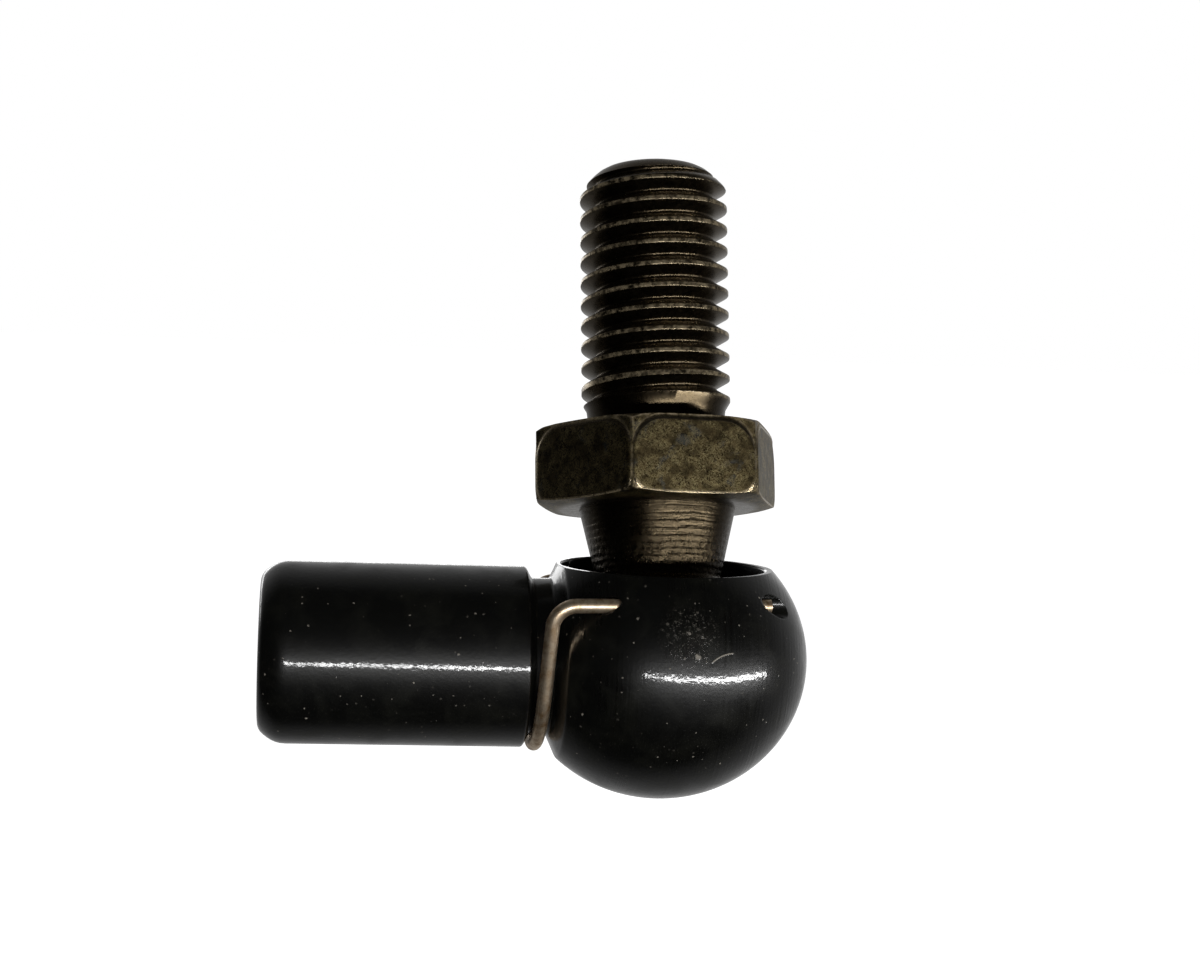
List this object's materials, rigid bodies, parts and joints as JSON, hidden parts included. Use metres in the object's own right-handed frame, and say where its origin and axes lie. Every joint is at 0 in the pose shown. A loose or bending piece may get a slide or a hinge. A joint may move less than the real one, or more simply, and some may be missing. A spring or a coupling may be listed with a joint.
{
  "type": "angle ball joint",
  "caption": "Angle ball joint: a threaded ball stud with a hexagon stands in a turned socket housing whose tapped shank lies at a right angle, held by a snap ring and a wire safety clip",
  "frame": {"origin": "centre of the ball, where the axis of the shank crosses the axis of the socket", "axes": "-X runs out along the shank, +Z out of the socket's opening; the stud leans back about 12 degrees towards +Y at rest"},
  "size_m": [0.0431, 0.0246, 0.0509],
  "materials": {
    "black_oxide_steel": "black oxide, oiled, satin",
    "dark_passivated_steel": "dark passivated, olive brown",
    "spring_steel": "drawn spring wire",
    "plated_wire": "pale plated spring wire"
  },
  "bodies": {
    "housing": {"socket_housing": "black_oxide_steel", "safety_clip": "plated_wire"},
    "ring": {"snap_ring": "spring_steel"},
    "stud": {"ball_stud": "dark_passivated_steel"}
  },
  "joints": [
    {"name": "stud_swing", "type": "hinge", "parent": "housing", "child": "ring", "pos_m": [0, 0, 0], "axis": [0, 0, 1], "continuous": true},
    {"name": "stud_tip", "type": "hinge", "parent": "ring", "child": "stud", "pos_m": [0, 0, 0], "axis": [-0.995, -0.0997, 0], "range_deg": [-26.86, 3.14]}
  ]
}
